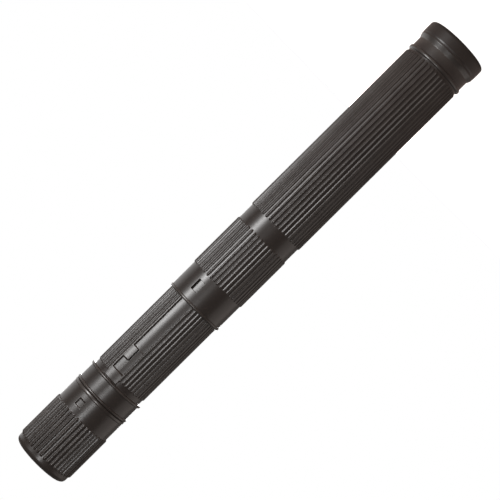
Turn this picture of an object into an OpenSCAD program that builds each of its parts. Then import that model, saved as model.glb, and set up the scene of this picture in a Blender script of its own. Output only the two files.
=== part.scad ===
// Telescopic drawing tube, drawn out, standing on its foot.
// The origin is the centre of the foot's underside, and +Z runs along the tube to the cap.
// Angles round the tube are counted from the front (-Y) toward +X.

/* [Lengths of the outer tube] */
// Height of the foot
foot_h = 18.8; // [16:0.2:22]
// Straight rim above the foot
rim_h = 2.7; // [2:0.1:4]
// Slope from the rim down to the lower strap groove
flare_h = 6; // [4:0.5:8]
// Width of the lower strap groove
lower_groove_w = 13.4; // [12:0.2:16]
// Width of the bead above the lower strap groove
strap_bead_w = 5.6; // [4:0.2:7]
// Plain gap between the strap bead and the ribs
rib_gap = 2.5; // [1.5:0.1:4]
// Length of the long run of ribs
long_ribs = 284; // [240:1:300]
// Width of the plain band between the two runs of ribs
mid_band_w = 22; // [16:1:26]
// Length of the short run of ribs
short_ribs = 83; // [70:1:95]
// Length of the plain collar at the open end
collar_h = 42; // [42:1:46]

/* [Lengths of the inner tube and the cap] */
// How far the inner tube slides
stroke = 138; // [136:1:142]
// Width of the bead that stops the inner tube on the collar
stop_bead_w = 4; // [3:0.2:5]
// Width of the upper strap groove
upper_groove_w = 21; // [16:0.5:24]
// Width of the shoulder bead that the cap sits on
shoulder_bead_w = 4.2; // [3:0.2:5]
// Length of the cap
cap_h = 112.4; // [108:0.4:118]
// Length of the neck inside the cap
neck_h = 52; // [50:1:58]
// Length of the inner tube that stays inside the outer tube when drawn out
overlap = 140; // [120:1:150]

/* [Radii] */
// Bore of the outer tube
outer_bore_r = 40.2; // [40.2:0.1:40.4]
// Plain outside of the outer tube
outer_r = 41.2; // [41.2:0.1:41.4]
// Outside of the foot
foot_r = 44.8; // [44.4:0.1:45.6]
// Bore of the inner tube
inner_bore_r = 37.4; // [37.2:0.1:37.5]
// Plain outside of the inner tube between its ribs
inner_r = 38.7; // [38.6:0.1:38.8]
// Outside of the neck that the cap goes over
neck_r = 39.9; // [39.8:0.1:39.9]
// Bore of the cap
cap_bore_r = 40.3; // [40.3:0.1:40.4]
// Plain outside of the cap
cap_r = 41.6; // [41.6:0.1:41.8]

/* [Ribs] */
// Number of ribs round each tube
rib_count = 44; // [44:1:44]
// Height of the long ribs of the outer tube
long_rib_height = 1.55; // [1.2:0.05:1.7]
// Height of the short ribs of the outer tube
short_rib_height = 1.2; // [1:0.05:1.6]
// Height of the inner tube's ribs
inner_rib_height = 1.2; // [1:0.05:1.2]
// Height of the cap's ribs
cap_rib_height = 1.8; // [1.4:0.1:2]

/* [Slide lock] */
// Depth of the lock track below the outside of the ribs
track_depth = 2.5; // [2.3:0.1:2.5]
// Angle that each of the track's two lanes takes up
lane_angle = 14; // [14:0.1:14.2]
// Width of the collar's lug round the tube, as an angle
lug_angle = 10.6; // [9:0.2:10.8]
// Length of the collar's lug
lug_h = 14; // [12:0.5:14]

/* [Cap lock] */
// Length of the dimple in the cap
dimple_h = 9.5; // [8:0.5:10]
// Width of the dimple round the cap, as an angle
dimple_angle = 16; // [14:0.5:16]
// Angle that the cap turns to lock
cap_turn = 12; // [10:1:12]

/* [Hidden] */
$fn = 180;

// Directions and small gaps
front = -90;
slide_gap = 0.3;
seat_gap = 0.1;
through = 2;

// Heights along the outer tube
rim_top = foot_h + rim_h;
flare_top = rim_top + flare_h;
strap_bead_z = flare_top + lower_groove_w + strap_bead_w / 2;
long_ribs_z = flare_top + lower_groove_w + strap_bead_w + rib_gap;
mid_band_z = long_ribs_z + long_ribs;
short_ribs_z = mid_band_z + mid_band_w;
collar_z = short_ribs_z + short_ribs;
outer_top = collar_z + collar_h;

// The foot and the lower end of the outer tube
foot_floor = 3;
foot_round = 4.6;
foot_recess_r = 34;
foot_recess = 1;
spigot_r = outer_r + 0.4;
rim_r = foot_r - 0.3;
groove_r = 41.9;
strap_bead_r = 43.8;
lip_h = 4.2;
lip_r = outer_r + 1.3;

// Heights along the inner tube, drawn out
inner_bottom = outer_top - overlap;
stop_z = outer_top + stroke + 0.4;
upper_groove_z = stop_z + stop_bead_w;
shoulder_z = upper_groove_z + upper_groove_w;
cap_z = shoulder_z + shoulder_bead_w;
neck_top = cap_z + neck_h;
cap_top = cap_z + cap_h;

// Radii of the inner tube
inner_rib_r = inner_r + inner_rib_height;
pad_r = inner_rib_r - 0.1;
upper_groove_r = 40.7;
inner_bead_r = 42.8;
inner_lip_r = 36.3;

// The slip ring's groove at the inner end
ring_flange_h = 3;
ring_seat_h = 8.4;
ring_seat_r = 38;
ring_zone = 2 * ring_flange_h + ring_seat_h;
inner_ribs_z = inner_bottom + ring_zone + 2;
inner_ribs_top = stop_z - 6.4;

// Ribs, and where the first one is on each tube
rib_pitch = 360 / rib_count;
rib_root_share = 0.42;
rib_top_share = 0.25;
rib_sink = 0.3;
outer_rib_start = 0.2;
inner_rib_start = 0.3;
cap_rib_start = -3.4;

// The lock track: a free lane, and beside it a row with a pocket at each end of the travel
track_a = inner_rib_start + 2.1;
row_a = track_a + lane_angle;
track_end_a = row_a + lane_angle;
track_ribs = 4;
pad_end_a = inner_rib_start + track_ribs * rib_pitch;
track_floor_r = inner_rib_r - track_depth;
pad_inner_r = track_floor_r - 1.2;
pad_margin = 4;
lug_z = collar_z + 10;
lug_a = track_a + lane_angle / 2;
lug_r = track_floor_r + 0.4;
track_z = lug_z - 2;
lower_pocket_top = lug_z + lug_h + 2.6;
lower_block_top = outer_top - 1;
upper_block_z = lug_z + stroke - 20.8;
upper_block_top = lug_z + stroke - 1.5;
track_top = lug_z + stroke + lug_h + 3;
pad_z = track_z - 8;

// The window in the collar, over the lower pocket
window_z = lug_z - 1;
window_h = lug_h + 2;

// The cap's rounding, ribs, lip, liner and lock
cap_round = 6.5;
cap_wall_top = 2.5;
cap_lip_h = 4.8;
cap_lip_r = 42.3;
cap_ribs_z = cap_z + 32.4;
cap_ribs_top = cap_top - 11;
liner_h = 2;
liner_z = cap_top - cap_wall_top - seat_gap - liner_h;
liner_bead_h = 2;
liner_bead_r = cap_bore_r - 0.9;
dimple_z = cap_z + 13.4;
dimple_a = 14;
dimple_floor_r = 39.9;
dimple_wall = 1.2;
dimple_wall_a = 1.6;
cap_lug_r = dimple_floor_r - dimple_wall;
slot_floor_r = cap_lug_r - 0.3;
slot_side_gap = 1.4;
slot_end_gap = 1.5;
arrow_z = cap_z + 24.5;
arrow_a = 3.5;
arrow_h = 7;
arrow_w = 5;
arrow_rise = 0.4;

// The points of a rounded bead on a surface of radius r, from its lower edge to its upper edge
function bead(r, top_r, z, w) = [
    for (t = [0:22.5:180])
        [r + (top_r - r) * sin(t), z + w / 2 - w / 2 * cos(t)]
];

// The points of a round corner about [r, z], between two angles
function corner(r, z, size, from, to) = [
    for (i = [0:6])
        let (t = from + (to - from) * i / 6)
        [r + size * cos(t), z + size * sin(t)]
];

// A block that follows the tube's curve
module sector(r0, r1, z0, z1, a0, a1) {
    rotate([0, 0, front + a0])
        rotate_extrude(angle = a1 - a0)
            translate([r0, z0])
                square([r1 - r0, z1 - z0]);
}

// A ring of lengthways ribs with sloping ends, rooted in a wall of radius r
module ribs(r, height, z0, z1, start, skip = 0) {
    root_r = r - rib_sink;
    top_r = r + height;
    slope = height + rib_sink / 2;
    outline = [
        for (i = [0:rib_count - 1])
            let (a = front + start + i * rib_pitch)
            let (flat = i > 0 && i < skip)
            let (peak = flat ? root_r : top_r)
            each [
                root_r * [cos(a - rib_root_share * rib_pitch), sin(a - rib_root_share * rib_pitch)],
                peak * [cos(a - rib_top_share * rib_pitch), sin(a - rib_top_share * rib_pitch)],
                peak * [cos(a + rib_top_share * rib_pitch), sin(a + rib_top_share * rib_pitch)],
                root_r * [cos(a + rib_root_share * rib_pitch), sin(a + rib_root_share * rib_pitch)],
            ]
    ];
    intersection() {
        translate([0, 0, z0])
            linear_extrude(z1 - z0)
                difference() {
                    polygon(outline);
                    circle(root_r - rib_sink / 2);
                }
        rotate_extrude()
            polygon([
                [0, z0 - 1],
                [root_r + rib_sink / 2, z0 - 1],
                [root_r + rib_sink / 2, z0],
                [root_r + rib_sink / 2 + slope, z0 + slope],
                [root_r + rib_sink / 2 + slope, z1 - slope],
                [root_r + rib_sink / 2, z1],
                [root_r + rib_sink / 2, z1 + 1],
                [0, z1 + 1],
            ]);
    }
}

// The wide tube, with its strap groove, collar, window and lug
module outer_tube() {
    outline = concat(
        [
            [outer_bore_r, foot_floor],
            [spigot_r, foot_floor],
            [spigot_r, foot_h],
            [rim_r, foot_h],
            [rim_r, rim_top],
            [groove_r, flare_top],
        ],
        bead(groove_r, strap_bead_r, strap_bead_z - strap_bead_w / 2, strap_bead_w),
        [
            [outer_r, strap_bead_z + strap_bead_w / 2 + 0.2],
        ],
        bead(outer_r, lip_r, outer_top - lip_h, lip_h - 0.4),
        [
            [outer_r, outer_top],
            [outer_bore_r, outer_top],
        ]
    );
    color([0.17, 0.16, 0.15])
        difference() {
            union() {
                rotate_extrude()
                    polygon(outline);
                ribs(outer_r, long_rib_height, long_ribs_z, mid_band_z, outer_rib_start);
                ribs(outer_r, short_rib_height, short_ribs_z, collar_z, outer_rib_start);
                sector(
                    lug_r, outer_bore_r + 0.5,
                    lug_z, lug_z + lug_h,
                    lug_a - lug_angle / 2, lug_a + lug_angle / 2
                );
            }
            sector(
                outer_bore_r - through, outer_r + through,
                window_z, window_z + window_h,
                row_a, track_end_a
            );
        }
}

// The closed foot, pressed on to the end of the outer tube
module base_cap() {
    outline = concat(
        [
            [0, foot_recess],
            [foot_recess_r, foot_recess],
            [foot_recess_r + foot_recess, 0],
        ],
        corner(foot_r - foot_round, foot_round, foot_round, -90, 0),
        [
            [foot_r, foot_h],
            [spigot_r + seat_gap, foot_h],
            [spigot_r + seat_gap, foot_floor],
            [0, foot_floor],
        ]
    );
    color([0.16, 0.15, 0.145])
        rotate_extrude()
            polygon(outline);
}

// The slip ring that guides the inner tube in the outer tube's bore
module guide_ring() {
    ring_z = inner_bottom + ring_flange_h + seat_gap;
    ring_r = outer_bore_r - slide_gap;
    color([0.75, 0.74, 0.70])
        rotate_extrude()
            polygon([
                [ring_seat_r + slide_gap, ring_z],
                [ring_r - 0.5, ring_z],
                [ring_r, ring_z + 1],
                [ring_r, ring_z + ring_seat_h - 2 * seat_gap - 1],
                [ring_r - 0.5, ring_z + ring_seat_h - 2 * seat_gap],
                [ring_seat_r + slide_gap, ring_z + ring_seat_h - 2 * seat_gap],
            ]);
}

// The sliding tube, with its lock track, upper strap groove and neck
module inner_tube() {
    flange_r = inner_rib_r - 0.2;
    outline = concat(
        [
            [inner_lip_r, inner_bottom],
            [flange_r, inner_bottom],
            [flange_r, inner_bottom + ring_flange_h],
            [ring_seat_r, inner_bottom + ring_flange_h],
            [ring_seat_r, inner_bottom + ring_flange_h + ring_seat_h],
            [flange_r, inner_bottom + ring_flange_h + ring_seat_h],
            [flange_r, inner_bottom + ring_zone],
            [inner_r, inner_bottom + ring_zone + 1],
            [inner_r, stop_z],
        ],
        bead(upper_groove_r, inner_bead_r, stop_z, stop_bead_w),
        bead(upper_groove_r, inner_bead_r, shoulder_z, shoulder_bead_w),
        [
            [neck_r, cap_z],
            [neck_r, neck_top - 1],
            [neck_r - 1, neck_top],
            [inner_bore_r, neck_top],
            [inner_bore_r, inner_bottom + ring_zone + 2],
            [inner_lip_r, inner_bottom + ring_zone],
        ]
    );
    color([0.17, 0.16, 0.15])
        difference() {
            union() {
                rotate_extrude()
                    polygon(outline);
                ribs(
                    inner_r, inner_rib_height,
                    inner_ribs_z, inner_ribs_top,
                    inner_rib_start, track_ribs
                );
                sector(inner_r - 0.5, pad_r, pad_z, stop_z + 1, inner_rib_start, pad_end_a);
                sector(
                    pad_inner_r, inner_r - 0.4,
                    pad_z, track_top + pad_margin,
                    track_a - pad_margin, track_end_a + pad_margin
                );
            }
            lock_track();
            cap_slot();
        }
}

// The space that the collar's lug moves in: the free lane and the three open stretches beside it
module lock_track() {
    sector(track_floor_r, pad_r + through, track_z, track_top, track_a, row_a + 0.05);
    sector(track_floor_r, pad_r + through, track_z, lower_pocket_top, row_a, track_end_a);
    sector(track_floor_r, pad_r + through, lower_block_top, upper_block_z, row_a, track_end_a);
    sector(track_floor_r, pad_r + through, upper_block_top, track_top, row_a, track_end_a);
}

// The slot that the cap's lug goes down, with its side leg
module cap_slot() {
    lug_from = dimple_a - dimple_wall_a;
    lug_to = dimple_a + dimple_angle + dimple_wall_a;
    slot_z = dimple_z - dimple_wall - slot_end_gap;
    leg_top = dimple_z + dimple_h + dimple_wall + slot_end_gap;
    slot_from = lug_from - slot_side_gap;
    sector(slot_floor_r, neck_r + through, slot_z, neck_top + 1, slot_from, lug_to + slot_side_gap);
    sector(slot_floor_r, neck_r + through, slot_z, leg_top, slot_from - cap_turn, slot_from + 0.05);
}

// The soft disc in the end of the cap
module cap_liner() {
    color([0.30, 0.29, 0.28])
        translate([0, 0, liner_z])
            cylinder(r = cap_bore_r - 0.2, h = liner_h);
}

// The cap, with its dimple and the lug behind it
module cap() {
    outline = concat(
        [
            [cap_bore_r, cap_z],
            [cap_r, cap_z],
        ],
        bead(cap_r, cap_lip_r, cap_z, cap_lip_h),
        corner(cap_r - cap_round, cap_top - cap_round, cap_round, 0, 90),
        [
            [0, cap_top],
            [0, cap_top - cap_wall_top],
            [cap_bore_r, cap_top - cap_wall_top],
            [cap_bore_r, liner_z],
            [liner_bead_r, liner_z - liner_bead_h / 2],
            [cap_bore_r, liner_z - liner_bead_h],
        ]
    );
    color([0.18, 0.17, 0.165])
        difference() {
            union() {
                rotate_extrude()
                    polygon(outline);
                ribs(cap_r, cap_rib_height, cap_ribs_z, cap_ribs_top, cap_rib_start);
                sector(
                    cap_lug_r, cap_bore_r + 0.5,
                    dimple_z - dimple_wall, dimple_z + dimple_h + dimple_wall,
                    dimple_a - dimple_wall_a, dimple_a + dimple_angle + dimple_wall_a
                );
                cap_arrow();
            }
            sector(
                dimple_floor_r, cap_r + through,
                dimple_z, dimple_z + dimple_h,
                dimple_a, dimple_a + dimple_angle
            );
        }
}

// The raised arrow beside the dimple
module cap_arrow() {
    rotate([0, 0, front + arrow_a])
        translate([cap_r - 0.5, 0, arrow_z])
            rotate([90, 0, 90])
                linear_extrude(0.5 + arrow_rise)
                    polygon([
                        [-arrow_w / 2, 0],
                        [arrow_w / 2, 0],
                        [0, arrow_h],
                    ]);
}

outer_tube();
base_cap();
guide_ring();
inner_tube();
cap_liner();
cap();
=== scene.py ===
import math

import bmesh
import bpy
import numpy as np
from mathutils import Matrix, Vector


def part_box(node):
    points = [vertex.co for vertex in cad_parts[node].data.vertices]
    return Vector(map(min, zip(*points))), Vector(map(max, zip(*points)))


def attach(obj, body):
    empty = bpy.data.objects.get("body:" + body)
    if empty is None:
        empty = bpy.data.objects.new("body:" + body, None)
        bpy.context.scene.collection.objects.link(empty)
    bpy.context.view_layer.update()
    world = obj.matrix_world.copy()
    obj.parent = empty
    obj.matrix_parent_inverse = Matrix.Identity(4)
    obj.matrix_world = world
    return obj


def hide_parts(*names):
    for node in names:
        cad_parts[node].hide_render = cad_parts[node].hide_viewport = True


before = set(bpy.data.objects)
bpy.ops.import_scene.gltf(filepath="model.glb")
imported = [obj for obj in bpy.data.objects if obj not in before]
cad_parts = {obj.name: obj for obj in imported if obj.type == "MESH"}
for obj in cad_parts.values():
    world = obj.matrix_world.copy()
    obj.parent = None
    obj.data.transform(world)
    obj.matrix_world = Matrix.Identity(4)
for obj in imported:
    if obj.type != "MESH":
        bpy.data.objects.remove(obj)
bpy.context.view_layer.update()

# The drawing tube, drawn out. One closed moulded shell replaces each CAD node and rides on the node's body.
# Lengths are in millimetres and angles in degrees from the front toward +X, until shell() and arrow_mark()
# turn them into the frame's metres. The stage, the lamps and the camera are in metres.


# ---------------------------------------------------------------- sizes

MM = 0.001


def span(node):
    """A CAD node's lowest and highest z and its greatest radius, in millimetres."""
    low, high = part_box(node)
    return low[2] / MM, high[2] / MM, max(high[0], -low[0]) / MM


FOOT_BOTTOM, FOOT_TOP, FOOT_R = span("base_cap")
OUTER_BOTTOM, OUTER_TOP, _ = span("outer_tube")
INNER_BOTTOM, NECK_TOP, _ = span("inner_tube")
CAP_BOTTOM, CAP_TOP, _ = span("cap")
RING_BOTTOM, RING_TOP, RING_R = span("guide_ring")
LINER_BOTTOM, LINER_TOP, LINER_R = span("cap_liner")

# The soft width of a moulded step
EDGE = 1.4
WINDOW_EDGE = 0.7
LUG_EDGE = 0.5

# Ribs: their half-width, and the share of it where the round crest passes into the hollow foot
RIBS = 44
PITCH = 360 / RIBS
RIB_HALF = 0.32 * PITCH
RIB_FOOT = 0.6
# How much longer than its half-width a rib's rounded end is
RIB_END = 1.3
# The rise that counts as a full crest, which is worn most and painted palest, as wear and a painted
# highlight
CREST_RISE = 1.2

# The outer tube. A bead is its z, its width and its top radius
OUTER_R = 41.2
OUTER_BORE = 40.2
OUTER_END = OUTER_BOTTOM + 0.1
SPIGOT_R = 41.6
SPIGOT_CHAMFER = 0.3
RIM_R = FOOT_R - 0.3
RIM_TOP = FOOT_TOP + 2.7
FLARE_TOP = RIM_TOP + 6
FLARE_ROUND = 1.4
GROOVE_R = 41.9
STRAP_BEAD = (FLARE_TOP + 13.4, 5.6, 43.8)
LONG_RIBS = (FLARE_TOP + 21.5, FLARE_TOP + 305.5)
LONG_RIB_H = 1.55
SHORT_RIBS = (LONG_RIBS[1] + 22, LONG_RIBS[1] + 105)
SHORT_RIB_H = 1.2
OUTER_RIB_START = 0.2
LIP = (OUTER_TOP - 4.3, 3.9, 42.5)
MOUTH_ROUND = 0.3

# The foot. It and the tube each stand back this far from the line where they meet
FOOT_GAP = 0.04
FOOT_BORE = 41.75
FOOT_ROUND = 4.6
FOOT_FLOOR = 3.05

# The recess under the foot: its height, and the radii of its slope
FOOT_RECESS = FOOT_BOTTOM + 1.2
FOOT_RECESS_R = (33.6, 34.8)

# The raised moulding mark in the middle of the foot and of the cap: the radii of its slopes, and its height
MARK_R = (3, 3.4, 5.6, 6)
MARK_H = 0.3

# The inner tube
INNER_R = 38.7
INNER_BORE = 37.4
INNER_LIP_R = 36.3
UPPER_GROOVE_R = 40.7
NECK_R = 39.9
BEAD_R = 42.8
SHOULDER_BEAD_W = 4.2
STOP_BEAD_W = 4
UPPER_GROOVE_H = 21
SHOULDER = CAP_BOTTOM - SHOULDER_BEAD_W
STOP = SHOULDER - UPPER_GROOVE_H - STOP_BEAD_W
INNER_RIBS = (INNER_BOTTOM + 16.4, STOP - 6.4)
INNER_RIB_START = 0.3
INNER_RIB_H = 1.2

# The two flanges at its lower end, and the seat that they leave for the slip ring
FLANGE_R = INNER_R + 1.0
SEAT_R = 38.0
SEAT = (INNER_BOTTOM + 3, INNER_BOTTOM + 11.4)
FLANGE_TOP = INNER_BOTTOM + 14.4

# The slip ring
RING_BORE = SEAT_R + 0.3
RING_CHAMFER = 0.6

# The lock track, as angles and heights. The collar's lug runs in its free lane
ROW = 14
TRACK_A = 2.4
ROW_A = TRACK_A + ROW
TRACK_END_A = ROW_A + ROW
TRACK_FLOOR = 37.4
LUG = (OUTER_TOP - 32, OUTER_TOP - 18)
LUG_A = (TRACK_A + 1.7, ROW_A - 1.7)
LUG_R = TRACK_FLOOR + 0.4
STROKE = 138
TRACK = (LUG[0] - 2, LUG[1] + STROKE + 3)
LOWER_BLOCK = (LUG[1] + 2.6, OUTER_TOP - 1)
UPPER_BLOCK = (LUG[0] + STROKE - 20.8, LUG[0] + STROKE - 1.5)
# The lane is this much shallower above the upper block's foot
LANE_STEP = 0.35
# How far the lane's shape reaches over the row, and how far of that is cut
LANE_OVERLAP = 2
LANE_CUT = 0.8

# How far a patch runs past the end of its wall, so that no edge of it shows there
PAST = 9

# The smooth pad that the track is cut in. It takes the place of three ribs
PAD_H = 1.1
PAD_A = (INNER_RIB_START, INNER_RIB_START + 4 * PITCH)
PAD_BOTTOM = TRACK[0] - 8
PADDED_RIBS = (1, 2, 3)
TRACK_DEPTH = INNER_R + PAD_H - TRACK_FLOOR

# The thicker wall behind the track, on the inside
BACKING = (PAD_BOTTOM, TRACK[1] + 4)
BACKING_A = (TRACK_A - 4, TRACK_END_A + 4)
BACKING_R = TRACK_FLOOR - 1.2

# The window in the collar, over the track's row of pockets
WINDOW = (LUG[0] - 1, LUG[1] + 1)
WINDOW_A = (ROW_A, TRACK_END_A)
WINDOW_SINK = 0.35

# The cap
CAP_R = 41.6
CAP_BORE = 40.3
CAP_LIP = (CAP_BOTTOM + 0.15, 4.65, 42.3)
CAP_RIBS = (CAP_BOTTOM + 32.4, CAP_TOP - 11)
CAP_RIB_START = -3.4
CAP_RIB_H = 1.8
CAP_ROUND = 6.5
CAP_CEILING = CAP_TOP - 2.4
LINER_BEAD_R = CAP_BORE - 0.9
DIMPLE = (CAP_BOTTOM + 13.4, CAP_BOTTOM + 22.9)
DIMPLE_A = (15.2, 28.8)
DIMPLE_DEPTH = CAP_R - 39.9

# The recess in its top: its height, and the radii of its slope
CAP_RECESS = CAP_TOP - 0.6
CAP_RECESS_R = (28.8, 30)

# The cap's lug, behind the dimple, and the slot in the neck that it locks in
CAP_LUG_R = 38.7
CAP_LUG = (DIMPLE[0] - 1.2, DIMPLE[1] + 1.2)
CAP_LUG_A = (DIMPLE_A[0] - 1.6, DIMPLE_A[1] + 1.6)
SLOT = (CAP_BOTTOM + 10.7, CAP_BOTTOM + 25.6)
SLOT_A = (11, 33)
SLOT_DEPTH = 1.5
CAP_TURN = 12

# The raised arrow beside the dimple
ARROW_Z = CAP_BOTTOM + 24.5
ARROW_A = 3.5
ARROW_SINK = 0.4
ARROW_BEVEL = 0.15
# How its top is narrower than its foot, and shorter at its base and at its tip
ARROW_TAPER = 0.9
ARROW_SHORTER = (0.2, 0.3)

# The parting line of the mould, which runs up both sides
SEAMS = (90, 270)
SEAM_H = 0.12
SEAM_HALF = 0.35
SEAM_COLUMN = 0.48
# The heights between which it shows
OUTER_SEAM = (STRAP_BEAD[0] + STRAP_BEAD[1], OUTER_TOP - 5)
FOOT_SEAM = (FOOT_BOTTOM + FOOT_ROUND, FOOT_TOP - 1)
CAP_SEAM = (CAP_BOTTOM + 5, CAP_TOP - 8)

# Two places closer than this are the same place
SLACK = 1e-6


# ---------------------------------------------------------------- outlines

def rounded(points, steps=5):
    """An outline of (r, z, radius) corners as (r, z, crest) points, each corner with a radius as an arc."""
    out = []
    for i, (r, z, radius) in enumerate(points):
        if not radius or i in (0, len(points) - 1):
            out.append((r, z, 0.0))
            continue
        here = Vector((r, z))
        back = (Vector(points[i - 1][:2]) - here).normalized()
        ahead = (Vector(points[i + 1][:2]) - here).normalized()
        half = back.angle(ahead) / 2
        centre = here + (back + ahead).normalized() * (radius / math.sin(half))
        start = here + back * (radius / math.tan(half)) - centre
        end = here + ahead * (radius / math.tan(half)) - centre
        turn = start.angle_signed(end)
        convex = 1.0 if back.cross(ahead) > 0 else 0.0
        for k in range(steps + 1):
            p = centre + Matrix.Rotation(-turn * k / steps, 2) @ start
            out.append((p.x, p.y, convex))
    return out


def bead(r, z, width, top, steps=10):
    """A rounded bead on a wall of radius r, from z upward. It is a little fuller than an ellipse."""
    points = []
    for k in range(steps + 1):
        t = math.pi * k / steps
        rise = math.sin(t) ** 0.8
        points.append((r + (top - r) * rise, z + width / 2 * (1 - math.cos(t)), rise ** 3))
    return points


def stations(r, heights):
    """Rows on a straight wall."""
    return [(r, z, 0.0) for z in heights]


def rib_rows(r, ends):
    """The rows that round off both ends of a run of ribs."""
    steps = (0, 0.3, 0.7, 1.2, 1.8, 2.5, 3.3, 4.2)
    return stations(r, [ends[0] + s for s in steps] + [ends[1] - s for s in reversed(steps)])


def edge_lines(*edges, soft=EDGE):
    """Five lines across each edge, so that it is drawn as a small rounded step."""
    return [e + k * soft for e in edges for k in (-0.6, -0.3, 0.0, 0.3, 0.6)]


def held(rows, near=0.35):
    """The rows with one more close to each end of a long straight wall, which keeps its shading flat.

    A stretch along the axis gets none, because no faces join two poles.
    """
    out = []
    for here, ahead in zip(rows, rows[1:] + rows[:1]):
        out.append(here)
        length = math.dist(here[:2], ahead[:2])
        on_axis = here[0] == ahead[0] == 0
        if here[3] == ahead[3] and length > 4 * near and not on_axis:
            for t in (near / length, 1 - near / length):
                mixed = [a + (b - a) * t for a, b in zip(here[:3], ahead[:3])]
                out.append((*mixed, here[3]))
    return out


def merge(*groups, gap=0.12):
    """Sorted values of all the groups. Where two are closer than gap, the one of the later group stays."""
    kept = []
    for group in groups:
        kept = [v for v in kept if all(abs(v - w) >= gap for w in group)] + list(group)
    return sorted(kept)


# ---------------------------------------------------------------- relief

def per_degree(r):
    """The length of one degree on a wall of radius r."""
    return math.radians(1) * r


def ramp(x, edge, soft):
    """A smooth rise from 0 to 1 across an edge, over a width of soft."""
    t = np.clip((x - edge) / soft + 0.5, 0, 1)
    return t * t * (3 - 2 * t)


def plateau(x, low, high, soft=EDGE):
    """1 between low and high and 0 outside, with a step of width soft."""
    return ramp(x, low, soft) * (1 - ramp(x, high, soft))


def turn_of(a, middle=180):
    """Angles brought within half a turn of middle."""
    return (a - middle + 180) % 360 - 180 + middle


def patch(z, a, heights, angles, r, soft=EDGE):
    """1 on a patch of the wall between two heights and two angles, and 0 off it."""
    arc = per_degree(r)
    around = turn_of(a, sum(angles) / 2) * arc
    return plateau(z, *heights, soft) * plateau(around, angles[0] * arc, angles[1] * arc, soft)


def rib_relief(z, a, r, height, ends, start, skip=()):
    """Lengthways ribs with a round crest, soft feet and rounded ends, as the height above the wall."""
    index = np.round((a - start) / PITCH)
    across = (a - start - index * PITCH) * per_degree(r)
    half = RIB_HALF * per_degree(r)
    along = max(0.0, ends[0] + half * RIB_END - z, z - (ends[1] - half * RIB_END)) / RIB_END
    d = np.clip(np.hypot(across, along) / half, 0, 1)
    rise = height * np.where(d < RIB_FOOT, 1 - d**2 / RIB_FOOT, (1 - d) ** 2 / (1 - RIB_FOOT))
    return np.where(np.isin(index % RIBS, skip), 0.0, rise)


def seam_relief(a, r):
    """The thin parting line that the mould leaves on both sides."""
    away = [np.abs(turn_of(a, s) - s) * per_degree(r) for s in SEAMS]
    return SEAM_H * sum(np.clip(1 - d / SEAM_HALF, 0, 1) for d in away)


def no_relief(side, z, a):
    """A plain round wall."""
    return np.zeros(len(a))


def columns(start, *extra):
    """Angles of the columns: a set on each rib, one between ribs, and the lines of seams and features."""
    on_rib = (-1, -0.85, -0.68, -0.52, -0.27, 0, 0.27, 0.52, 0.68, 0.85, 1)
    ribs = [(start + i * PITCH + t * RIB_HALF) % 360 for i in range(RIBS) for t in on_rib]
    valleys = [(start + (i + 0.5) * PITCH) % 360 for i in range(RIBS)]
    seams = [s + k * SEAM_COLUMN for s in SEAMS for k in (-1, -0.4, 0, 0.4, 1)]
    return merge(ribs + valleys, seams, *[[a % 360 for a in group] for group in extra], gap=0.1)


def angle_lines(r, *angles, soft=EDGE):
    """edge_lines for angles, spread over the same width on a wall of radius r."""
    return edge_lines(*angles, soft=soft / per_degree(r))


# ---------------------------------------------------------------- shells

def shell(name, rows, angles, relief, hole=None):
    """A closed moulded shell.

    rows are (r, z, crest, side) in order along the outline, outside and inside. A row at r 0 is a pole.
    relief(side, z, angles) gives each column's added radius. hole is (heights, angles) of a window that goes
    right through, with the same rows and columns on both sides of the wall.
    """
    rows = held(rows)
    angles = np.array(sorted(angles))
    points, crests, first = shell_points(rows, angles, relief)
    faces = shell_faces(rows, angles, first, hole)
    if hole:
        faces += hole_walls(rows, angles, first, hole)
    mesh = bpy.data.meshes.new(name)
    mesh.from_pydata(np.array(points) * MM, [], faces)
    crest = mesh.attributes.new("crest", "FLOAT", "POINT")
    crest.data.foreach_set("value", np.array(crests, dtype=np.float32))
    mesh.validate()
    return piece_of(mesh, sharp=55)


def shell_points(rows, angles, relief):
    """The points of a shell row by row, the crest value of each, and where each row starts."""
    turn = np.radians(angles - 90)
    points, crests, first = [], [], []
    for r, z, crest, side in rows:
        first.append(len(points))
        if r == 0:
            points.append((0.0, 0.0, z))
            crests.append(crest)
            continue
        added = relief(side, z, angles)
        radius = r + added
        points.extend(zip(radius * np.cos(turn), radius * np.sin(turn), np.full(len(angles), z)))
        # Crests and convex edges outside get a value that paints them paler, as wear and a painted highlight
        crests.extend(np.maximum(crest, np.clip(added / CREST_RISE, 0, 1) ** 2) * (side == "out"))
    return points, crests, first


def shell_faces(rows, angles, first, hole):
    """The faces that join each row to the next, and the last to the first where the outline has no pole."""
    count = len(angles)
    closed = rows[0][0] > 0 and rows[-1][0] > 0
    faces = []
    for i in range(len(rows) if closed else len(rows) - 1):
        k = (i + 1) % len(rows)
        cut = hole and rows[i][3] == rows[k][3] and inside(rows[i][1], rows[k][1], hole[0])
        for j in range(count):
            m = (j + 1) % count
            if cut and inside(angles[j], angles[m], hole[1]):
                continue
            if rows[i][0] == 0:
                faces.append((first[i], first[k] + m, first[k] + j))
            elif rows[k][0] == 0:
                faces.append((first[i] + j, first[i] + m, first[k]))
            else:
                faces.append((first[i] + j, first[i] + m, first[k] + m, first[k] + j))
    return faces


def inside(a, b, limits):
    """True if the stretch from a to b lies within limits."""
    return min(a, b) >= limits[0] - SLACK and max(a, b) <= limits[1] + SLACK


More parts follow.
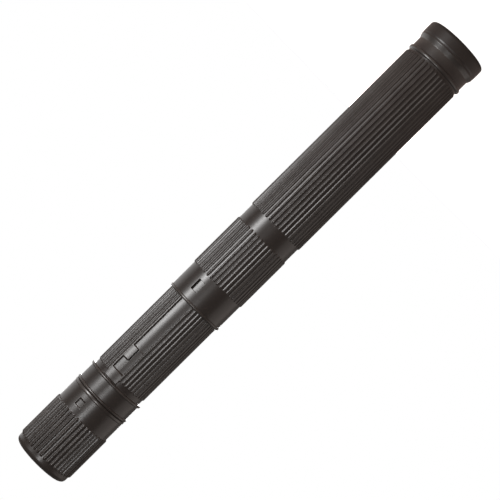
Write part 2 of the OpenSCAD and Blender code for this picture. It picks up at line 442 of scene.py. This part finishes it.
def hole_walls(rows, angles, first, hole):
    """The faces that join the two sides of the wall round a window."""
    sides = {"out": {}, "in": {}}
    for i, row in enumerate(rows):
        if inside(row[1], row[1], hole[0]):
            sides[row[3]][round(row[1], 4)] = i
    heights = sorted(set(sides["out"]) & set(sides["in"]))
    cols = [j for j, a in enumerate(angles) if inside(a, a, hole[1])]

    def corner(side, z, j):
        return first[sides[side][z]] + j

    faces = []
    for z, flip in ((heights[0], False), (heights[-1], True)):
        for j, m in zip(cols, cols[1:]):
            quad = (corner("out", z, j), corner("in", z, j), corner("in", z, m), corner("out", z, m))
            faces.append(quad if flip else quad[::-1])
    for j, flip in ((cols[0], True), (cols[-1], False)):
        for z, up in zip(heights, heights[1:]):
            quad = (corner("out", z, j), corner("in", z, j), corner("in", up, j), corner("out", up, j))
            faces.append(quad if flip else quad[::-1])
    return faces


def piece_of(mesh, sharp):
    """The object that shows a mesh, shaded smooth but for the edges sharper than an angle."""
    mesh.shade_smooth()
    mesh.set_sharp_from_angle(angle=math.radians(sharp))
    piece = bpy.data.objects.new(mesh.name, mesh)
    bpy.context.scene.collection.objects.link(piece)
    return piece


def on_side(side, points):
    """An outline's points as the rows of one side of the wall."""
    return [(*p, side) for p in points]


# ---------------------------------------------------------------- the pieces

def outer_tube():
    """The wide tube: spigot, rim, flare, strap groove, ribs, and the collar with its window and lug."""
    lines = merge(edge_lines(*WINDOW, soft=WINDOW_EDGE), edge_lines(*LUG, soft=LUG_EDGE), gap=0.05)
    lines = sorted(merge(lines, WINDOW) + [sum(WINDOW) / 2])
    outside = rounded([
        (SPIGOT_R - SPIGOT_CHAMFER, OUTER_END, 0),
        (SPIGOT_R, OUTER_END + SPIGOT_CHAMFER, 0),
        (SPIGOT_R, FOOT_TOP + FOOT_GAP, 0),
        (RIM_R, FOOT_TOP + FOOT_GAP, 0.15),
        (RIM_R, RIM_TOP, FLARE_ROUND),
        (GROOVE_R, FLARE_TOP, FLARE_ROUND),
        (GROOVE_R, STRAP_BEAD[0] - 0.4, 0),
    ])
    outside += bead(GROOVE_R, *STRAP_BEAD)
    outside += stations(OUTER_R, [STRAP_BEAD[0] + STRAP_BEAD[1] + 0.5])
    outside += rib_rows(OUTER_R, LONG_RIBS)
    outside += rib_rows(OUTER_R, SHORT_RIBS)
    outside += stations(OUTER_R, lines)
    outside += bead(OUTER_R, *LIP)
    outside += rounded([
        (OUTER_R, OUTER_TOP - 0.35, 0),
        (OUTER_R, OUTER_TOP, MOUTH_ROUND),
        (OUTER_BORE, OUTER_TOP, MOUTH_ROUND),
        (OUTER_BORE, OUTER_TOP - 1, 0),
    ], steps=3)
    within = stations(OUTER_BORE, lines[::-1] + [FLARE_TOP, OUTER_END])

    def relief(side, z, a):
        if side == "in":
            return (LUG_R - OUTER_BORE) * patch(z, a, LUG, LUG_A, OUTER_BORE, LUG_EDGE)
        rise = rib_relief(z, a, OUTER_R, LONG_RIB_H, LONG_RIBS, OUTER_RIB_START)
        rise = rise + rib_relief(z, a, OUTER_R, SHORT_RIB_H, SHORT_RIBS, OUTER_RIB_START)
        if OUTER_SEAM[0] < z < OUTER_SEAM[1]:
            rise = rise + seam_relief(a, OUTER_R)
        return rise - WINDOW_SINK * patch(z, a, WINDOW, WINDOW_A, OUTER_R, WINDOW_EDGE)

    window_lines = angle_lines(OUTER_R, *WINDOW_A, soft=WINDOW_EDGE)
    lug_lines = angle_lines(OUTER_R, *LUG_A, soft=LUG_EDGE)
    angles = columns(OUTER_RIB_START, window_lines + lug_lines, WINDOW_A)
    rows = on_side("out", outside) + on_side("in", within)
    return shell("outer_tube_shell", rows, angles, relief, (WINDOW, WINDOW_A))


def base_cap():
    """The foot: a closed cup with a recess and a moulding mark underneath.

    It has the outer tube's columns, so the two edges of the line where they meet run alike.
    """
    outside = [(0, FOOT_RECESS, 0.0)]
    outside += rounded([
        (MARK_R[0], FOOT_RECESS, 0),
        (MARK_R[1], FOOT_RECESS - MARK_H, 0.2),
        (MARK_R[2], FOOT_RECESS - MARK_H, 0.2),
        (MARK_R[3], FOOT_RECESS, 0.2),
        (FOOT_RECESS_R[0], FOOT_RECESS, 0.6),
        (FOOT_RECESS_R[1], FOOT_BOTTOM, 0.6),
        (FOOT_R, FOOT_BOTTOM, FOOT_ROUND),
        (FOOT_R, FOOT_TOP - 2, 0.5),
        (RIM_R, FOOT_TOP - FOOT_GAP, 0.1),
        (FOOT_BORE, FOOT_TOP - FOOT_GAP, 0.2),
        (FOOT_BORE, FOOT_TOP - 2, 0),
    ], steps=7)
    within = [
        (FOOT_BORE, FOOT_FLOOR + 0.15, 0.0),
        (OUTER_BORE - 0.3, FOOT_FLOOR, 0.0),
        (0, FOOT_FLOOR, 0.0),
    ]

    def relief(side, z, a):
        if side == "out" and FOOT_SEAM[0] < z < FOOT_SEAM[1]:
            return -seam_relief(a, FOOT_R)
        return np.zeros(len(a))

    rows = on_side("out", outside) + on_side("in", within)
    return shell("base_cap_cup", rows, columns(OUTER_RIB_START), relief)


def guide_ring():
    """The slip ring, a plain band with chamfered edges."""
    outside = rounded([
        (RING_BORE, RING_BOTTOM, 0),
        (RING_R - RING_CHAMFER, RING_BOTTOM, 0.3),
        (RING_R, RING_BOTTOM + 1, 0.5),
        (RING_R, RING_TOP - 1, 0.5),
        (RING_R - RING_CHAMFER, RING_TOP, 0.3),
        (RING_BORE, RING_TOP, 0),
    ])
    within = stations(RING_BORE, [RING_TOP - 0.4, RING_BOTTOM + 0.4])
    rows = on_side("out", outside) + on_side("in", within)
    return shell("guide_ring_band", rows, range(0, 360, 3), no_relief)


def neck_relief(z, a):
    """The slot in the neck: a shaft that the cap's lug goes down, and a leg that it turns into."""
    shaft = patch(z, a, (SLOT[0], NECK_TOP + PAST), SLOT_A, NECK_R)
    leg = patch(z, a, SLOT, (SLOT_A[0] - CAP_TURN, SLOT_A[0] + 1), NECK_R)
    return -SLOT_DEPTH * np.maximum(shaft, leg)


def track_relief(z, a):
    """The lock track: the free lane with its shallow upper part, and the pockets between the blocks."""
    lane = patch(z, a, TRACK, (TRACK_A, ROW_A + LANE_OVERLAP), INNER_R)
    row = patch(z, a, TRACK, (ROW_A, TRACK_END_A), INNER_R)
    blocks = plateau(z, *LOWER_BLOCK) + plateau(z, *UPPER_BLOCK)
    track = np.maximum(lane * (turn_of(a, ROW_A) < ROW_A + LANE_CUT), row * (1 - blocks))
    step = LANE_STEP * lane * ramp(z, UPPER_BLOCK[0] + 0.2, EDGE) * (1 - row)
    return step * (track > 0.5) - TRACK_DEPTH * track


def inner_relief(side, z, a):
    """Everything raised or sunk on the inner tube's wall."""
    if side == "in":
        return (BACKING_R - INNER_BORE) * patch(z, a, BACKING, BACKING_A, INNER_BORE)
    if z > CAP_BOTTOM:
        return neck_relief(z, a)
    if z < INNER_RIBS[0] or z > STOP - 1:
        return np.zeros(len(a))
    ribs = rib_relief(z, a, INNER_R, INNER_RIB_H, INNER_RIBS, INNER_RIB_START, PADDED_RIBS)
    pad = PAD_H * patch(z, a, (PAD_BOTTOM, STOP + PAST), PAD_A, INNER_R)
    return np.maximum(ribs, pad) + track_relief(z, a)


def inner_tube():
    """The sliding tube: flanges, ribs, pad and lock track, strap groove between two beads, and neck."""
    most_lines = edge_lines(TRACK[0], LOWER_BLOCK[1], *UPPER_BLOCK, TRACK[1])
    track_lines = merge(most_lines, edge_lines(LOWER_BLOCK[0]))
    rib_ends = [z for _, z, _ in rib_rows(INNER_R, INNER_RIBS)]
    outside = rounded([
        (INNER_LIP_R, INNER_BOTTOM, 0),
        (FLANGE_R, INNER_BOTTOM, 0.5),
        (FLANGE_R, SEAT[0], 0.3),
        (SEAT_R, SEAT[0], 0.3),
        (SEAT_R, SEAT[1], 0.3),
        (FLANGE_R, SEAT[1], 0.3),
        (FLANGE_R, FLANGE_TOP, 0.5),
        (INNER_R, FLANGE_TOP + 1, 0),
    ], steps=1)
    outside += stations(INNER_R, merge(rib_ends, track_lines, edge_lines(PAD_BOTTOM)))
    outside += rounded([
        (INNER_R, STOP - 1.5, 0),
        (INNER_R, STOP, 0.5),
        (UPPER_GROOVE_R, STOP, 0),
    ])
    outside += bead(UPPER_GROOVE_R, STOP + 0.1, STOP_BEAD_W - 0.1, BEAD_R)
    outside += bead(UPPER_GROOVE_R, SHOULDER, SHOULDER_BEAD_W - 0.15, BEAD_R)
    outside += stations(NECK_R, merge([CAP_BOTTOM + 0.6], edge_lines(*SLOT), [NECK_TOP - 3]))
    outside += rounded([
        (NECK_R, NECK_TOP - 2, 0),
        (NECK_R, NECK_TOP, 1.0),
        (INNER_BORE, NECK_TOP, 0.8),
        (INNER_BORE, NECK_TOP - 2, 0),
    ], steps=3)
    within = stations(INNER_BORE, sorted(edge_lines(*BACKING), reverse=True) + [INNER_RIBS[0]])
    within += stations(INNER_LIP_R, [FLANGE_TOP, INNER_BOTTOM + 0.5])

    backing_lines = angle_lines(INNER_R, *BACKING_A)
    slot_lines = angle_lines(NECK_R, *SLOT_A, SLOT_A[0] - CAP_TURN)
    angles = columns(
        INNER_RIB_START,
        angle_lines(INNER_R, *PAD_A) + backing_lines + slot_lines,
        angle_lines(INNER_R, TRACK_A, ROW_A, TRACK_END_A),
    )
    rows = on_side("out", outside) + on_side("in", within)
    return shell("inner_tube_shell", rows, angles, inner_relief)


def cap_liner():
    """The soft disc in the end of the cap, a little hollow underneath."""
    outside = [(0, LINER_BOTTOM + 0.3, 0.0)]
    outside += rounded([
        (20, LINER_BOTTOM + 0.25, 0),
        (LINER_R - 6, LINER_BOTTOM, 0),
        (LINER_R, LINER_BOTTOM, 0.7),
        (LINER_R, LINER_TOP, 0.6),
        (LINER_R - 4, LINER_TOP, 0),
    ])
    outside += [(0, LINER_TOP, 0.0)]
    return shell("cap_liner_disc", on_side("out", outside), range(0, 360, 4), no_relief)


def cap_outline():
    """The cap's outside, from its mouth up to the middle of its top."""
    points = rounded([
        (CAP_BORE, CAP_BOTTOM + 0.3, 0),
        (CAP_BORE + 0.3, CAP_LIP[0], 0),
        (CAP_R - 0.2, CAP_LIP[0], 0),
    ])
    points += bead(CAP_R, *CAP_LIP)
    points += stations(CAP_R, merge([CAP_BOTTOM + 7], edge_lines(*DIMPLE)))
    points += rib_rows(CAP_R, CAP_RIBS)
    points += rounded([
        (CAP_R, CAP_RIBS[1] + 0.4, 0),
        (CAP_R, CAP_TOP, CAP_ROUND),
        (CAP_RECESS_R[1], CAP_TOP, 0.8),
        (CAP_RECESS_R[0], CAP_RECESS, 0.8),
        (MARK_R[3], CAP_RECESS, 0.2),
        (MARK_R[2], CAP_RECESS + MARK_H, 0.2),
        (MARK_R[1], CAP_RECESS + MARK_H, 0.2),
        (MARK_R[0], CAP_RECESS, 0),
    ], steps=8)
    return points + [(0, CAP_RECESS, 0.0)]


def cap():
    """The ribbed cap, with its lip, dimple and lug, and the bead that holds the liner."""
    within = [(0, CAP_CEILING, 0.0)]
    within += rounded([
        (20, CAP_CEILING, 0),
        (CAP_BORE, CAP_CEILING, 0.2),
        (CAP_BORE, LINER_BOTTOM, 0),
        (LINER_BEAD_R, LINER_BOTTOM - 1, 0.3),
        (CAP_BORE, LINER_BOTTOM - 2, 0),
    ], steps=3)
    within += stations(CAP_BORE, sorted(edge_lines(*CAP_LUG), reverse=True))

    def relief(side, z, a):
        if side == "in":
            return (CAP_LUG_R - CAP_BORE) * patch(z, a, CAP_LUG, CAP_LUG_A, CAP_BORE)
        rise = rib_relief(z, a, CAP_R, CAP_RIB_H, CAP_RIBS, CAP_RIB_START)
        if CAP_SEAM[0] < z < CAP_SEAM[1]:
            rise = rise + seam_relief(a, CAP_R)
        return rise - DIMPLE_DEPTH * patch(z, a, DIMPLE, DIMPLE_A, CAP_R)

    angles = columns(CAP_RIB_START, angle_lines(CAP_BORE, *CAP_LUG_A), angle_lines(CAP_R, *DIMPLE_A))
    rows = on_side("in", within) + on_side("out", cap_outline())
    return shell("cap_shell", rows, angles, relief)


def arrow_mark(size=7, width=5, rise=0.55):
    """The small raised arrow on the cap's skirt, which points to the closed end."""
    work = bmesh.new()
    low = [(-width / 2, ARROW_Z), (width / 2, ARROW_Z)]
    tip = (0, ARROW_Z + size)
    top = [(x * ARROW_TAPER, z + ARROW_SHORTER[0]) for x, z in low] + [(0, tip[1] - ARROW_SHORTER[1])]
    lower = [work.verts.new((CAP_R - ARROW_SINK, x, z)) for x, z in low + [tip]]
    upper = [work.verts.new((CAP_R + rise, x, z)) for x, z in top]
    work.faces.new(reversed(lower))
    work.faces.new(upper)
    for i in range(3):
        k = (i + 1) % 3
        work.faces.new((lower[i], lower[k], upper[k], upper[i]))
    bmesh.ops.bevel(work, geom=list(work.edges), offset=ARROW_BEVEL, segments=2, affect="EDGES")
    turn = Matrix.Rotation(math.radians(ARROW_A - 90), 3, "Z")
    bmesh.ops.rotate(work, verts=list(work.verts), matrix=turn)
    bmesh.ops.scale(work, verts=list(work.verts), vec=(MM, MM, MM))
    bmesh.ops.recalc_face_normals(work, faces=list(work.faces))
    mesh = bpy.data.meshes.new("cap_arrow")
    work.to_mesh(mesh)
    work.free()
    mesh.attributes.new("crest", "FLOAT", "POINT")
    return piece_of(mesh, sharp=30)


# ---------------------------------------------------------------- materials

PLASTIC_IOR = 1.51
# How much paler the streaks are, and what the clouds and wear add to the roughness
STREAK_LIFT = 1.35
CLOUD_ROUGHNESS = (-0.04, 0.06)
WEAR_ROUGHNESS = -0.06


def node(tree, kind, **settings):
    """A new shader node with its settings. A setting whose name is an input's fills that input."""
    made = tree.nodes.new(kind)
    for key, value in settings.items():
        if key in made.inputs:
            made.inputs[key].default_value = value
        else:
            setattr(made, key, value)
    return made


def new_material(name):
    """A material, its node tree and its main shader."""
    material = bpy.data.materials.new(name)
    material.use_nodes = True
    tree = material.node_tree
    return material, tree, tree.nodes["Principled BSDF"]


def noise(tree, vector, scale, detail, roughness):
    """Noise over the coordinates that vector gives."""
    made = node(tree, "ShaderNodeTexNoise", Scale=scale, Detail=detail, Roughness=roughness)
    tree.links.new(vector, made.inputs["Vector"])
    return made.outputs["Fac"]


def remap(tree, value, source=(0.0, 1.0), target=(0.0, 1.0)):
    """A value brought from the source range into the target range."""
    made = node(tree, "ShaderNodeMapRange")
    for key, number in zip(("From Min", "From Max", "To Min", "To Max"), (*source, *target)):
        made.inputs[key].default_value = number
    tree.links.new(value, made.inputs["Value"])
    return made.outputs["Result"]


def tones(tree, factor, low, high):
    """A node that gives a colour between low and high by a factor."""
    made = node(tree, "ShaderNodeMix", data_type="RGBA")
    made.inputs["A"].default_value = (*low, 1)
    made.inputs["B"].default_value = (*high, 1)
    tree.links.new(factor, made.inputs["Factor"])
    return made


def bump(tree, height, strength, distance):
    """A node that bumps the surface by a height. The distance is in metres."""
    made = node(tree, "ShaderNodeBump", Strength=strength)
    made.inputs["Distance"].default_value = distance
    tree.links.new(height, made.inputs["Height"])
    return made


def wear_and_sheen_mask(tree, clouds):
    """Where the skin is worn and a highlight is painted: on crests and edges, broken up by the clouds."""
    crest = node(tree, "ShaderNodeAttribute", attribute_name="crest")
    wear_and_sheen = node(tree, "ShaderNodeMath", operation="MULTIPLY")
    tree.links.new(crest.outputs["Fac"], wear_and_sheen.inputs[0])
    tree.links.new(remap(tree, clouds, source=(0.38, 0.68)), wear_and_sheen.inputs[1])
    return wear_and_sheen.outputs["Value"]


def moulded_plastic(name, colour, worn_sheen_colour, rough, grain):
    """Satin moulded polyethylene: fine spark texture, cloudy gloss, and worn crests that shine a little,
    painted paler as wear and a painted highlight.
    """
    material, tree, shader = new_material(name)
    link = tree.links.new
    shader.inputs["IOR"].default_value = PLASTIC_IOR
    place = node(tree, "ShaderNodeTexCoord").outputs["Object"]

    # Slow clouds, streaks drawn out along the tube, and spark-eroded grain
    clouds = noise(tree, place, scale=26.0, detail=4.0, roughness=0.6)
    stretch = node(tree, "ShaderNodeMapping", Scale=(1.0, 1.0, 0.035))
    link(place, stretch.inputs["Vector"])
    streaks = noise(tree, stretch.outputs["Vector"], scale=900.0, detail=3.0, roughness=0.55)
    sparks = noise(tree, place, scale=2600.0, detail=2.0, roughness=0.6)
    wear_and_sheen = wear_and_sheen_mask(tree, clouds)

    # The streaks vary the colour, and crests and edges are painted paler, as wear and a painted highlight
    shade = tones(tree, streaks, colour, [c * STREAK_LIFT for c in colour])
    tint = tones(tree, wear_and_sheen, colour, worn_sheen_colour)
    link(shade.outputs["Result"], tint.inputs["A"])
    link(tint.outputs["Result"], shader.inputs["Base Color"])

    # The clouds dull the gloss, and wear polishes it
    polish = node(tree, "ShaderNodeMath", operation="MULTIPLY_ADD")
    polish.inputs[1].default_value = WEAR_ROUGHNESS
    link(wear_and_sheen, polish.inputs[0])
    dull = remap(tree, clouds, target=[rough + change for change in CLOUD_ROUGHNESS])
    link(dull, polish.inputs[2])
    link(polish.outputs["Value"], shader.inputs["Roughness"])

    fine = bump(tree, sparks, strength=0.05 * grain, distance=0.00012)
    drawn = bump(tree, streaks, strength=0.03 * grain, distance=0.0002)
    link(fine.outputs["Normal"], drawn.inputs["Normal"])
    link(drawn.outputs["Normal"], shader.inputs["Normal"])
    return material


def foam(name, colour):
    """Closed-cell foam: small round cells in a dark skin."""
    material, tree, shader = new_material(name)
    link = tree.links.new
    place = node(tree, "ShaderNodeTexCoord")
    voronoi = node(tree, "ShaderNodeTexVoronoi", Scale=1400.0)
    link(place.outputs["Object"], voronoi.inputs["Vector"])
    cells = voronoi.outputs["Distance"]
    shade = tones(tree, cells, [c * 0.6 for c in colour], colour)
    link(shade.outputs["Result"], shader.inputs["Base Color"])
    link(remap(tree, cells, target=(0.95, 0.7)), shader.inputs["Roughness"])
    dents = bump(tree, cells, strength=0.5, distance=0.0003)
    link(dents.outputs["Normal"], shader.inputs["Normal"])
    return material


# ---------------------------------------------------------------- building

# Each plastic: its colour, its paler colour on crests and edges (wear and a painted highlight), its
# roughness and the strength of its grain
PLASTICS = {
    "tube_plastic": ((0.0150, 0.0115, 0.0098), (0.045, 0.039, 0.035), 0.33, 1.0),
    "cap_plastic": ((0.0165, 0.0128, 0.0110), (0.055, 0.048, 0.044), 0.30, 1.2),
    "foot_plastic": ((0.0125, 0.0092, 0.0078), (0.034, 0.028, 0.025), 0.36, 1.4),
    "ring_plastic": ((0.50, 0.49, 0.45), (0.62, 0.61, 0.57), 0.45, 1.0),
}
FINISHES = {name: moulded_plastic(name, *values) for name, values in PLASTICS.items()}
FINISHES["liner_foam"] = foam("liner_foam", (0.05, 0.05, 0.048))

# Each shell: its function, the CAD node it replaces, the body it rides on, and its slot and finish
BUILD = [
    (outer_tube, "outer_tube", "outer", "tube_plastic"),
    (base_cap, "base_cap", "outer", "foot_plastic"),
    (guide_ring, "guide_ring", "slide_ring", "ring_plastic"),
    (inner_tube, "inner_tube", "inner", "tube_plastic"),
    (cap_liner, "cap_liner", "cap_disc", "liner_foam"),
    (cap, "cap", "cap", "cap_plastic"),
]
for make, node_name, body, slot_name in BUILD:
    piece = make()
    piece.data.materials.append(FINISHES[slot_name])
    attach(piece, body)
    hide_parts(node_name)

arrow = arrow_mark()
arrow.data.materials.append(FINISHES["cap_plastic"])
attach(arrow, "cap")


# ---------------------------------------------------------------- stage, light and camera

WHITE = (1.0, 1.0, 1.0)
WARM = (1.0, 0.90, 0.84)
SKY_STRENGTH = 0.20

# The floor's colour where it lights the tube. It lies a little low, so that the foot's underside is clear
FLOOR_COLOUR = (0.63, 0.52, 0.48)
FLOOR_RADIUS = 1.6
FLOOR_Z = -0.0003

# Each lamp: its angle, distance and height round the tube, what it faces, its width and height, its power
# in watts and its colour
MIDDLE = (0, 0, 0.38)
LAMPS = {
    "key": (49, 1.5, 0.46, MIDDLE, (0.32, 0.50), 18.8, WHITE),
    "front": (6, 2.2, 1.05, (0, 0, 0.6), (0.34, 0.44), 9.5, WHITE),
    "behind": (140, 1.7, 0.55, MIDDLE, (2.4, 1.1), 8, WHITE),
    "back": (180, 1.7, 0.50, MIDDLE, (0.40, 0.80), 18, WHITE),
    "fill": (-95, 1.7, 0.55, MIDDLE, (1.9, 1.1), 5, WARM),
}

# The camera: the place that it looks at, its distance and roll, its lens and sensor in millimetres, and how
# far it sees
CAMERA_AIM = (0.0016, 0, 0.3762)
CAMERA_DISTANCE = 2.264
CAMERA_ROLL = 45.25
LENS = 126.45
SENSOR = 36
FARTHEST = 30


def round_about(angle, distance, height):
    """A place at an angle from the front toward +X, a distance from the tube's axis and a height."""
    turn = math.radians(angle - 90)
    return (distance * math.cos(turn), distance * math.sin(turn), height)


def emitter(name, place, aim, size, power, colour):
    """A soft rectangular lamp that faces aim."""
    lamp = bpy.data.lights.new(name, "AREA")
    lamp.shape = "RECTANGLE"
    lamp.size, lamp.size_y = size
    lamp.energy = power
    lamp.color = colour
    holder = bpy.data.objects.new(name, lamp)
    holder.location = place
    toward = Vector(aim) - Vector(place)
    holder.rotation_euler = toward.to_track_quat("-Z", "Y").to_euler()
    holder.visible_camera = False
    bpy.context.scene.collection.objects.link(holder)


def floor_material():
    """A dull pale surface, which looks white to the camera."""
    material, tree, shader = new_material("pale_floor")
    link = tree.links.new
    shader.inputs["Base Color"].default_value = (*FLOOR_COLOUR, 1)
    shader.inputs["Roughness"].default_value = 0.9
    shader.inputs["Specular IOR Level"].default_value = 0.0
    glow = node(tree, "ShaderNodeEmission", Strength=1.0)
    both = node(tree, "ShaderNodeAddShader")
    link(shader.outputs[0], both.inputs[0])
    link(glow.outputs[0], both.inputs[1])
    seen = camera_pick(tree, shader, both)
    link(seen, tree.nodes["Material Output"].inputs["Surface"])
    return material


def camera_pick(tree, unseen, seen):
    """The shader seen where the camera looks straight at it, and unseen where it lights other things."""
    ray = node(tree, "ShaderNodeLightPath")
    pick = node(tree, "ShaderNodeMixShader")
    tree.links.new(ray.outputs["Is Camera Ray"], pick.inputs[0])
    tree.links.new(unseen.outputs[0], pick.inputs[1])
    tree.links.new(seen.outputs[0], pick.inputs[2])
    return pick.outputs[0]


def floor():
    """A round pale floor, which the tube stands on."""
    mesh = bpy.data.meshes.new("floor")
    work = bmesh.new()
    bmesh.ops.create_circle(work, cap_ends=True, segments=128, radius=FLOOR_RADIUS)
    work.to_mesh(mesh)
    work.free()
    mesh.materials.append(floor_material())
    ground = bpy.data.objects.new("floor", mesh)
    ground.location.z = FLOOR_Z
    bpy.context.scene.collection.objects.link(ground)


def sky():
    """A white background that lights the tube only a little."""
    world = bpy.data.worlds.new("studio")
    world.use_nodes = True
    tree = world.node_tree
    plain = tree.nodes["Background"]
    plain.inputs["Color"].default_value = (*WARM, 1)
    plain.inputs["Strength"].default_value = SKY_STRENGTH
    white = node(tree, "ShaderNodeBackground", Color=(*WHITE, 1), Strength=1.0)
    seen = camera_pick(tree, plain, white)
    tree.links.new(seen, tree.nodes["World Output"].inputs["Surface"])
    bpy.context.scene.world = world


def camera():
    """The camera looks square on to the tube, which lies corner to corner in its view."""
    roll = math.radians(CAMERA_ROLL)
    right = Vector((-math.cos(roll), 0, -math.sin(roll)))
    up = Vector((math.sin(roll), 0, -math.cos(roll)))
    back = right.cross(up)
    lens = bpy.data.cameras.new("camera")
    lens.lens = LENS
    lens.sensor_width = SENSOR
    lens.clip_end = FARTHEST
    holder = bpy.data.objects.new("camera", lens)
    turn = Matrix((right, up, back)).transposed().to_4x4()
    holder.matrix_world = Matrix.Translation(Vector(CAMERA_AIM) + back * CAMERA_DISTANCE) @ turn
    bpy.context.scene.collection.objects.link(holder)
    bpy.context.scene.camera = holder


floor()
sky()
camera()
for name, (angle, distance, height, aim, size, power, colour) in LAMPS.items():
    emitter(name, round_about(angle, distance, height), aim, size, power, colour)

view = bpy.context.scene.view_settings
view.view_transform = "Standard"
view.look = "None"
